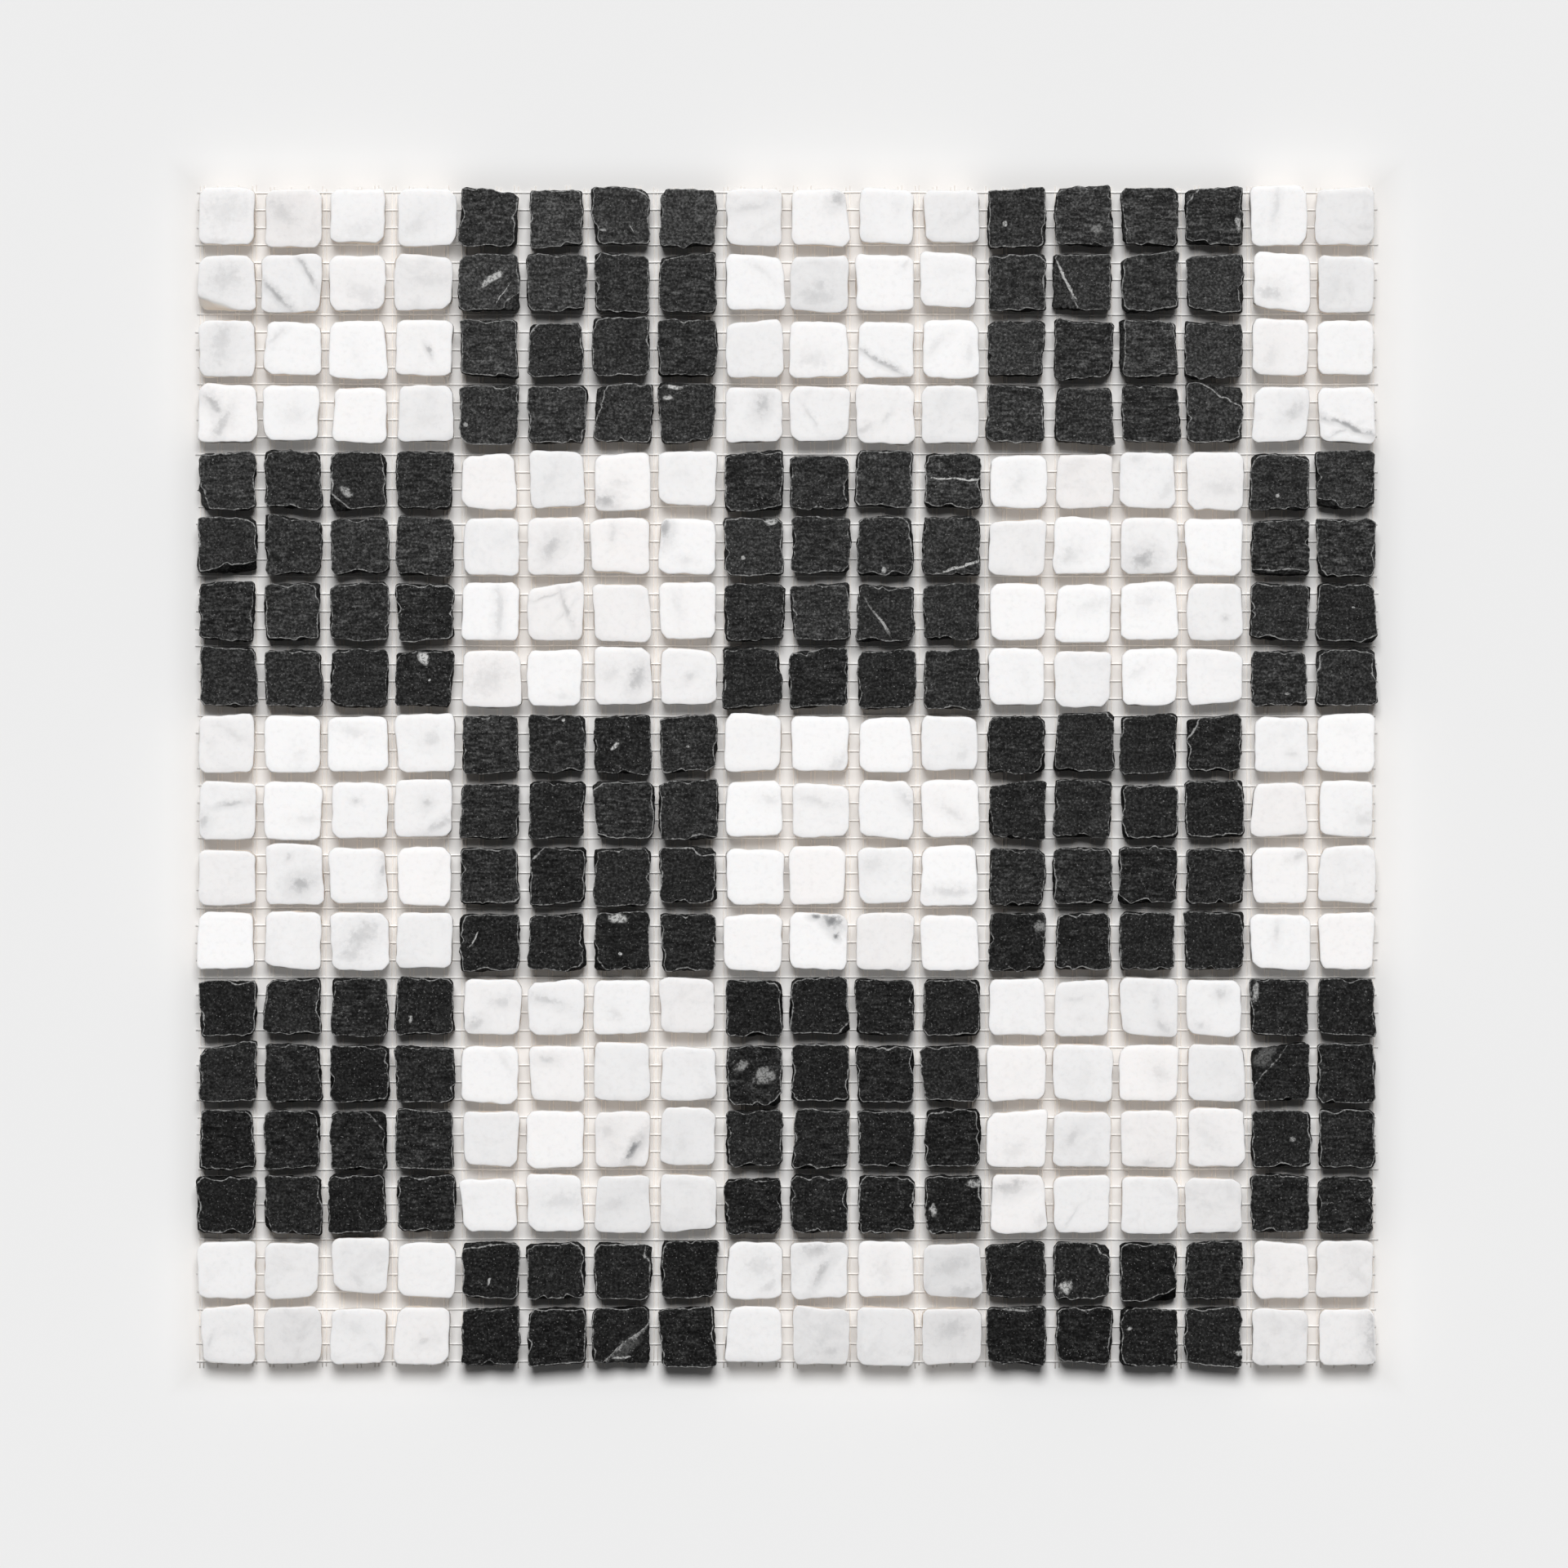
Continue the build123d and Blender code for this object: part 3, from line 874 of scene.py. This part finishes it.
def spread_out(stone, points, amount, undercut):
    """Moves the edge and the side of a stone outwards by an amount for each point, and its foot inwards."""
    amount = amount - undercut * (stone.thickness - points[..., 2])
    points[FIRST_EDGE_RING:, :, :2] += stone.heading * amount[FIRST_EDGE_RING:, :, None]
    return points


def wear_white(stone, settings):
    """A tumbled white stone: rounded all over, with gently wavy sides."""
    stone.leave_out_bevels()
    points = stone.round_off(stone.rings(), settings.edge_radius)
    where = points + stone.middle
    swing = field(where, LONG_WAVE, noise.noise) + SHORT_SHARE * field(where, SHORT_WAVE, noise.noise)
    return spread_out(stone, points, settings.waviness * swing, WHITE_UNDERCUT)


def flake_off(stone, points, settings):
    """How far flakes have cut into the edge of a black stone's face, for each point."""
    depth = stone.thickness - points[..., 2]
    cut = np.zeros(points.shape[:-1])
    for _ in range(stone.draw.integers(FLAKE_LEAST, settings.flake_count + 1)):
        middle = stone.draw.uniform(0, 2 * np.pi)
        half_width = stone.draw.uniform(*FLAKE_HALF_WIDTH)
        inward = stone.draw.uniform(*FLAKE_INWARD) * MM
        down = stone.draw.uniform(*FLAKE_DOWN) * MM
        aside = np.abs((stone.turns - middle + np.pi) % (2 * np.pi) - np.pi) / half_width
        bowl = np.clip(1 - aside**2, 0, None)
        cut = np.maximum(cut, inward * bowl * np.clip(1 - depth / down, 0, None))
    return cut


def wear_black(stone, settings):
    """A tumbled black stone: broken sides with hollows and ridges, and a flaked edge round its face."""
    points = stone.round_off(stone.rings(), settings.edge_radius)
    where = points + stone.middle
    ridges = RIDGE_HEIGHT * field(where, RIDGE_SIZE, noise.noise)
    crumbs = CRUMB_HEIGHT * field(where, CRUMB_SIZE, noise.noise)
    rough = settings.dent_depth * field(where, HOLLOW_SIZE, hollow)
    rough += ridges + crumbs
    rough -= flake_off(stone, points, settings)
    return spread_out(stone, points, rough, BLACK_UNDERCUT)


def mark_values(points, mark):
    """Where each point lies in a mark (along in half lengths, across in mm), its half width and strength."""
    right, up, turn, half_length, half_width, strength = mark
    lie = math.radians(turn)
    x = points[..., 0] / MM - right
    y = points[..., 1] / MM - up
    along = (x * math.cos(lie) + y * math.sin(lie)) / half_length
    across = y * math.cos(lie) - x * math.sin(lie)
    return np.stack((along, across, np.full_like(x, half_width), np.full_like(x, strength)), axis=-1)


def closed_faces(rings, count, first):
    """Faces that join rings of that many points, with a point at each end, numbered from the first."""
    top = first
    back = first + 1 + rings * count
    faces = []
    for index in range(count):
        after = (index + 1) % count
        faces.append((top, top + 1 + index, top + 1 + after))
        for ring in range(rings - 1):
            inner = top + 1 + ring * count
            outer = inner + count
            faces.append((inner + index, outer + index, outer + after, inner + after))
        last = back - count
        faces.append((back, last + after, last + index))
    return faces


def new_piece(name, vertices, faces, material):
    """A mesh piece of the sheet in its place, riding on the sheet."""
    mesh = bpy.data.meshes.new(name)
    mesh.from_pydata(vertices, [], faces)
    piece = bpy.data.objects.new(name, mesh)
    bpy.context.scene.collection.objects.link(piece)
    mesh.materials.append(material)
    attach(piece, "root")
    return piece


def select_only(*objects):
    """Selects these objects and nothing else, the first as the active one."""
    bpy.ops.object.select_all(action="DESELECT")
    for item in objects:
        item.select_set(True)
    bpy.context.view_layer.objects.active = objects[0]


def loose_stones(node):
    """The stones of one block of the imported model, measured from a copy that is cut apart."""
    mesh = frame["nodes"][node].data.copy()
    copy = bpy.data.objects.new("cut_apart", mesh)
    bpy.context.scene.collection.objects.link(copy)
    select_only(copy)
    bpy.ops.object.mode_set(mode="EDIT")
    bpy.ops.mesh.select_all(action="SELECT")
    bpy.ops.mesh.remove_doubles(threshold=LEAST)
    bpy.ops.mesh.dissolve_limited(angle_limit=FLAT)
    bpy.ops.mesh.separate(type="LOOSE")
    bpy.ops.object.mode_set(mode="OBJECT")
    solids = list(bpy.context.selected_objects)
    stones = sorted((Stone(solid) for solid in solids), key=lambda stone: (stone.row, stone.column))
    for solid in solids:
        bpy.data.meshes.remove(solid.data)
    return stones


def side_mask(points):
    """A mask by ring: 0 on the face, 1 on the sides and more on the back."""
    mask = np.zeros(points.shape[:-1])
    mask[FIRST_SIDE_RING + 2 :] = 1.0
    mask[FIRST_SIDE_RING + 1] = 0.5
    mask[-1] = ON_BACK
    return mask


def make_block(node, settings, outline_points, wear, finish, material):
    """One block of worn stones, which stands for a block of flat-faced ones."""
    vertices = []
    faces = []
    stored = {name: [] for name in ("stone", *MARK_NAMES)}
    for stone in loose_stones(node):
        stone.divide(outline_points)
        points = wear(stone, settings)
        top = np.array((0.0, 0.0, points[0, :, 2].mean()))
        back = np.array((0.0, 0.0, points[-1, :, 2].mean()))
        faces += closed_faces(len(points), outline_points, len(vertices))
        local = np.concatenate(([top], points.reshape(-1, 3), [back]))
        vertices += (local + stone.middle).tolist()
        tone_and_painted_light, wear_and_highlight_mask, variant, marks = finish(stone, points)
        rows = np.zeros((len(local), 4))
        rows[:, 0] = tone_and_painted_light
        # Worn edges on black stones; a painted highlight on the rim of white ones
        rows[1:-1, 1] = wear_and_highlight_mask.ravel()
        rows[1:-1, 2] = side_mask(points).ravel()
        rows[-1, 2] = ON_BACK
        rows[:, 3] = variant
        stored["stone"].append(rows)
        for number, name in enumerate(MARK_NAMES):
            mark = marks[number] if number < len(marks) else NO_MARK
            stored[name].append(mark_values(local, mark))
    piece = new_piece(f"{node}_worn", vertices, faces, material)
    for name, rows in stored.items():
        attribute = piece.data.attributes.new(name, "FLOAT_COLOR", "POINT")
        attribute.data.foreach_set("color", np.concatenate(rows).astype(np.float32).ravel())
    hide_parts(node)
    return piece


def finish_white(stone, points):
    """Dullness, painted rim highlight, warmth and marks of a white stone; painted shade of light falloff
    makes the rows away from the middle duller.
    """
    from_best_lit = (stone.row - BEST_LIT_ROW) / FALLOFF_ROWS
    # Painted shade of light falloff, duller away from the brightest row, plus the stone's own tone by chance
    dull = np.clip(DULL_LEAST + FALLOFF_SHADE_GAIN * from_best_lit**2 + stone.draw.uniform(*DULL_SPREAD), 0, 1)
    # The rim of the face, drawn lighter as a painted highlight
    wear_and_highlight_mask = np.zeros(points.shape[:-1])
    wear_and_highlight_mask[FACE_EDGE_RING : FIRST_SIDE_RING + 2] = 1.0
    warmth = WARMEST * stone.draw.uniform(0, 1) ** 3
    right, up = stone.draw.uniform(-CHANCE_PLACE, CHANCE_PLACE, 2)
    turn = stone.draw.uniform(0, 180)
    half_length, half_width = stone.draw.uniform(CHANCE_SMALLEST, CHANCE_LARGEST)
    faint = max(0.0, stone.draw.uniform(*CHANCE_STRENGTH))
    chance = (right, up, turn, half_length, half_width, faint)
    return dull, wear_and_highlight_mask, warmth, WHITE_MARKS.get((stone.row, stone.column), (chance,))


def finish_black(stone, points):
    """Tone, wear, saw marks and white marks of a black stone; the far rows are drawn greyest as painted
    sheen.
    """
    far = (ROWS - stone.row) / (ROWS - 1)
    # Tone that differs at random, times a painted sheen that grows towards the far edge
    tone_and_painted_light = (NEAR_TONE + FAR_SHEEN_GAIN * far**FAR_SHEEN_POWER) * stone.draw.uniform(*TONE_SPREAD)
    wear_and_highlight_mask = np.zeros(points.shape[:-1])
    wear_and_highlight_mask[FACE_EDGE_RING] = stone.draw.uniform(*WORN_SPREAD)
    sawn = stone.draw.uniform(*SAWN_SPREAD)
    return tone_and_painted_light, wear_and_highlight_mask, sawn, BLACK_MARKS.get((stone.row, stone.column), ())


def blocks(colour):
    """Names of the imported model's blocks of stones of one colour."""
    return sorted(node for node in frame["nodes"] if node.startswith(f"{colour}_stones"))


class MOSAIC_OT_white_stones(bpy.types.Operator):
    """Make the tumbled white stones"""

    bl_idname = "mosaic.white_stones"
    bl_label = "White stones"

    def execute(self, context):
        settings = context.scene.mosaic_white
        make_groups()
        material = make_white_marble(settings, context.scene.mosaic_resin.adhesive_colour)
        for node in blocks("white"):
            piece = make_block(
                node, settings, WHITE_OUTLINE, wear_white, finish_white, material
            )
            select_only(piece)
            bpy.ops.object.shade_smooth()
        return {"FINISHED"}


class MOSAIC_OT_black_stones(bpy.types.Operator):
    """Make the tumbled black stones"""

    bl_idname = "mosaic.black_stones"
    bl_label = "Black stones"

    def execute(self, context):
        settings = context.scene.mosaic_black
        make_groups()
        material = make_black_marble(settings, context.scene.mosaic_resin.adhesive_colour)
        for node in blocks("black"):
            piece = make_block(
                node, settings, BLACK_OUTLINE, wear_black, finish_black, material
            )
            select_only(piece)
            bpy.ops.object.shade_smooth_by_angle(angle=BLACK_SMOOTH)
        return {"FINISHED"}


def thread_lines(low, high, width):
    """Middles of the threads that lie side by side between two edges."""
    count = round((high - low - width) / NET_MESH) + 1
    return np.linspace(low + width / 2, high - width / 2, count)


def sweep_threads(paths, half_width, half_height, sides):
    """Vertices and faces of flattened round threads along paths, closed at their ends."""
    vertices = []
    faces = []
    turns = (np.arange(sides) + 0.5) / sides * 2 * np.pi
    for path, across in paths:
        first = len(vertices)
        swell = 1 + SWELL * np.array([noise.noise(Vector(point) / SWELL_LENGTH) for point in path])
        for point, size in zip(path, swell):
            out = np.outer(np.cos(turns) * half_width * size, across)
            out[:, 2] += np.sin(turns) * half_height
            vertices += (point + out).tolist()
        for ring in range(len(path) - 1):
            near = first + ring * sides
            far = near + sides
            for side in range(sides):
                after = (side + 1) % sides
                faces.append((near + side, near + after, far + after, far + side))
        faces.append(tuple(range(first + sides - 1, first - 1, -1)))
        last = first + (len(path) - 1) * sides
        faces.append(tuple(range(last, last + sides)))
    return vertices, faces


def sway(points, thread, amount):
    """How far a thread wanders aside at each point along it."""
    places = [Vector((point / SWAY_LENGTH, thread * SWAY_APART, SWAY_LEVEL)) for point in points]
    return amount * np.array([noise.noise(place) for place in places])


class MOSAIC_OT_net(bpy.types.Operator):
    """Make the woven net under the stones"""

    bl_idname = "mosaic.net"
    bl_label = "Net"

    def execute(self, context):
        settings = context.scene.mosaic_net
        make_groups()
        draw = np.random.default_rng(SEED)
        self.make_weft(settings, make_fibre("weft_fibre", settings.weft_colour), draw)
        self.make_warp(settings, make_fibre("warp_fibre", settings.warp_colour), draw)
        return {"FINISHED"}

    def make_weft(self, settings, material, draw):
        """Single threads along the rows, which rise over each pair of warp threads."""
        low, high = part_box("net_weft_threads")
        height = high.z - low.z
        paths = []
        for number, y in enumerate(thread_lines(low.y, high.y, WEFT_WIDTH)):
            start = low.x + draw.uniform(*THREAD_ENDS) * MM
            end = high.x - draw.uniform(*THREAD_ENDS) * MM
            xs = np.linspace(start, end, WEFT_STEPS + 1)
            wave = np.cos(xs / NET_MESH * 2 * np.pi + np.pi)
            ys = y + sway(xs, number, settings.sway)
            path = np.column_stack((xs, ys, (low.z + high.z) / 2 + WEFT_RISE * wave))
            paths.append((path, np.array((0.0, 1.0, 0.0))))
        vertices, faces = sweep_threads(paths, WEFT_WIDTH / 2, height / 2, WEFT_SIDES)
        piece = new_piece("net_weft_threads_woven", vertices, faces, material)
        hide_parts("net_weft_threads")
        select_only(piece)
        bpy.ops.object.shade_smooth()

    def make_warp(self, settings, material, draw):
        """Pairs of threads along the columns, flattened under the weft."""
        low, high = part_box("net_warp_threads")
        height = high.z - low.z
        paths = []
        for number, x in enumerate(thread_lines(low.x, high.x, WARP_WIDTH + WARP_PAIR)):
            for side in (-1, 1):
                start = low.y + draw.uniform(*THREAD_ENDS) * MM
                end = high.y - draw.uniform(*THREAD_ENDS) * MM
                ys = np.linspace(start, end, WARP_STEPS + 1)
                xs = x + side * WARP_PAIR / 2 + sway(ys, FIRST_WARP + number, settings.sway)
                path = np.column_stack((xs, ys, np.full_like(ys, (low.z + high.z) / 2)))
                paths.append((path, np.array((-1.0, 0.0, 0.0))))
        vertices, faces = sweep_threads(paths, WARP_WIDTH / 2, height / 2, WARP_SIDES)
        piece = new_piece("net_warp_threads_woven", vertices, faces, material)
        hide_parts("net_warp_threads")
        select_only(piece)
        bpy.ops.object.shade_smooth()


def under_stone(x, y):
    """Whether a point of the net lies well under a stone."""
    column = x / PITCH + (COLUMNS + 1) / 2
    row = (ROWS + 1) / 2 - y / PITCH
    aside = max(abs(column - round(column)), abs(row - round(row))) * PITCH
    return aside < HIDDEN and 1 <= round(column) <= COLUMNS and 1 <= round(row) <= ROWS


class MOSAIC_OT_knots(bpy.types.Operator):
    """Make the drops of resin where threads cross in the joints"""

    bl_idname = "mosaic.knots"
    bl_label = "Knots"

    def execute(self, context):
        settings = context.scene.mosaic_resin
        amount = context.scene.mosaic_net.sway
        make_groups()
        draw = np.random.default_rng(SEED)
        weft_low, weft_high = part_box("net_weft_threads")
        warp_low, warp_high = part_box("net_warp_threads")
        xs = thread_lines(warp_low.x, warp_high.x, WARP_WIDTH + WARP_PAIR)
        ys = thread_lines(weft_low.y, weft_high.y, WEFT_WIDTH)
        vertices = []
        faces = []
        for weft, y in enumerate(ys):
            for warp, x in enumerate(xs):
                size = draw.uniform(*KNOT_SIZES)
                if not under_stone(x, y):
                    right = x + sway([y], FIRST_WARP + warp, amount)[0]
                    up = y + sway([x], weft, amount)[0]
                    middle = np.array((right, up, weft_low.z))
                    self.add_knot(middle, size, settings, vertices, faces)
        material = make_fibre("knot_resin", settings.knot_colour)
        piece = new_piece("net_knots", vertices, faces, material)
        select_only(piece)
        bpy.ops.object.shade_smooth()
        return {"FINISHED"}

    def add_knot(self, middle, size, settings, vertices, faces):
        """One flat drop, from its top to its bottom."""
        turns = np.arange(KNOT_SIDES) / KNOT_SIDES * 2 * np.pi
        rim = np.column_stack((np.cos(turns), np.sin(turns), np.zeros(KNOT_SIDES)))
        rim = rim * (settings.knot_length * size, settings.knot_width * size, 1.0)
        rise = np.array((0.0, 0.0, KNOT_HEIGHT))
        shoulder = rim * KNOT_SHOULDER
        lift = rise * KNOT_SHOULDER
        rings = (middle + shoulder + lift, middle + rim, middle + shoulder - lift)
        faces += closed_faces(len(rings), KNOT_SIDES, len(vertices))
        vertices += [middle + rise, *np.concatenate(rings), middle - rise]


class MOSAIC_OT_stage(bpy.types.Operator):
    """Make the floor, the light and the camera"""

    bl_idname = "mosaic.stage"
    bl_label = "Stage"

    def execute(self, context):
        settings = context.scene.mosaic_stage
        self.make_floor(settings)
        self.make_light(context, settings)
        self.make_camera(context, settings)
        context.scene.view_settings.view_transform = "Standard"
        return {"FINISHED"}

    def make_floor(self, settings):
        """A plain floor with painted shade under the sheet and just past its edge, clear when seen from
        below.
        """
        bpy.ops.object.select_all(action="DESELECT")
        bpy.ops.mesh.primitive_plane_add(size=settings.floor_size, location=(0, 0, 0))
        floor = bpy.context.active_object
        floor.name = "floor"
        material, nodes, shader = new_material("floor_paint")
        place = nodes.add("ShaderNodeSeparateXYZ", {"Vector": nodes.place()}).outputs
        off_x = nodes.math("ABSOLUTE", place["X"])
        off_y = nodes.math("ABSOLUTE", place["Y"])
        half = COLUMNS * PITCH / 2
        # Painted shade under the sheet, fading out just past its edge
        outside = nodes.step(nodes.math("MAXIMUM", off_x, off_y), half - PITCH / 4, half + PITCH / 2)
        nodes.feed(shader["Base Color"], nodes.mix(outside, settings.under_sheet_shade_colour, settings.floor_colour))
        shader["Roughness"].default_value = 0.9
        shader["Specular IOR Level"].default_value = 0.0
        paint = nodes.nodes["Principled BSDF"].outputs["BSDF"]
        clear = nodes.add("ShaderNodeBsdfTransparent").outputs["BSDF"]
        back = nodes.add("ShaderNodeNewGeometry").outputs["Backfacing"]
        blend = nodes.add("ShaderNodeMixShader", {0: back, 1: paint, 2: clear}).outputs["Shader"]
        nodes.feed(nodes.nodes["Material Output"].inputs["Surface"], blend)
        floor.data.materials.append(material)

    def add_lamp(self, name, settings, share):
        """A broad lamp above, which leans to the far edge, with a share of the key light."""
        bpy.ops.object.light_add(type="SUN", rotation=(-settings.key_lean, 0, 0))
        lamp = bpy.context.active_object
        lamp.name = name
        lamp.data.energy = share * settings.key_strength * math.pi / math.cos(settings.key_lean)
        lamp.data.angle = settings.key_breadth
        return lamp

    def make_light(self, context, settings):
        """The key light, a part of which only the black stones stop, and even light from all round."""
        self.add_lamp("key_lamp", settings, 1 - settings.shine_through)
        glow = self.add_lamp("glow_lamp", settings, settings.shine_through)
        opaque = bpy.data.collections.new("opaque_stones")
        for piece in bpy.data.objects:
            if piece.name.startswith("black"):
                opaque.objects.link(piece)
        glow.light_linking.blocker_collection = opaque
        world = bpy.data.worlds.new("even_light")
        world.use_nodes = True
        context.scene.world = world
        nodes = NodeTree(world.node_tree)
        background = nodes.nodes["Background"]
        seen = nodes.add("ShaderNodeLightPath").outputs["Is Camera Ray"]
        background.inputs["Color"].default_value = (1, 1, 1, 1)
        floor_level = settings.floor_colour[0]
        nodes.feed(background.inputs["Strength"], nodes.step(seen, 0, 1, settings.ambient, floor_level))

    def make_camera(self, context, settings):
        """Straight down on the sheet, which lies a little above the middle of the picture."""
        height = CAD_BOX[1].z + settings.camera_height
        bpy.ops.object.camera_add(location=(settings.camera_right, settings.camera_up, height))
        camera = bpy.context.active_object
        camera.name = "camera"
        camera.rotation_euler = (0, 0, 0)
        camera.data.lens = camera.data.sensor_width * settings.camera_height / settings.picture_span
        context.scene.camera = camera


class MOSAIC_PT_sheet(bpy.types.Panel):
    """Lists the steps that dress the sheet"""

    bl_label = "Mosaic sheet"
    bl_space_type = "VIEW_3D"
    bl_region_type = "UI"
    bl_category = "Mosaic"

    def draw(self, context):
        for operator, settings in STEPS.items():
            self.layout.operator(operator)
            box = self.layout.box()
            group = getattr(context.scene, settings)
            for name in group.__annotations__:
                box.prop(group, name)


SETTINGS = {
    "mosaic_white": WhiteStoneSettings,
    "mosaic_black": BlackStoneSettings,
    "mosaic_net": NetSettings,
    "mosaic_resin": ResinSettings,
    "mosaic_stage": StageSettings,
}
STEPS = {
    "mosaic.white_stones": "mosaic_white",
    "mosaic.black_stones": "mosaic_black",
    "mosaic.net": "mosaic_net",
    "mosaic.knots": "mosaic_resin",
    "mosaic.stage": "mosaic_stage",
}
CLASSES = (
    *SETTINGS.values(),
    MOSAIC_OT_white_stones,
    MOSAIC_OT_black_stones,
    MOSAIC_OT_net,
    MOSAIC_OT_knots,
    MOSAIC_OT_stage,
    MOSAIC_PT_sheet,
)


def register():
    for item in CLASSES:
        bpy.utils.register_class(item)
    for name, group in SETTINGS.items():
        setattr(bpy.types.Scene, name, bpy.props.PointerProperty(type=group))


def unregister():
    for name in SETTINGS:
        delattr(bpy.types.Scene, name)
    for item in reversed(CLASSES):
        bpy.utils.unregister_class(item)


def main():
    register()
    bpy.ops.mosaic.white_stones()
    bpy.ops.mosaic.black_stones()
    bpy.ops.mosaic.net()
    bpy.ops.mosaic.knots()
    bpy.ops.mosaic.stage()


if __name__ == "__main__":
    main()
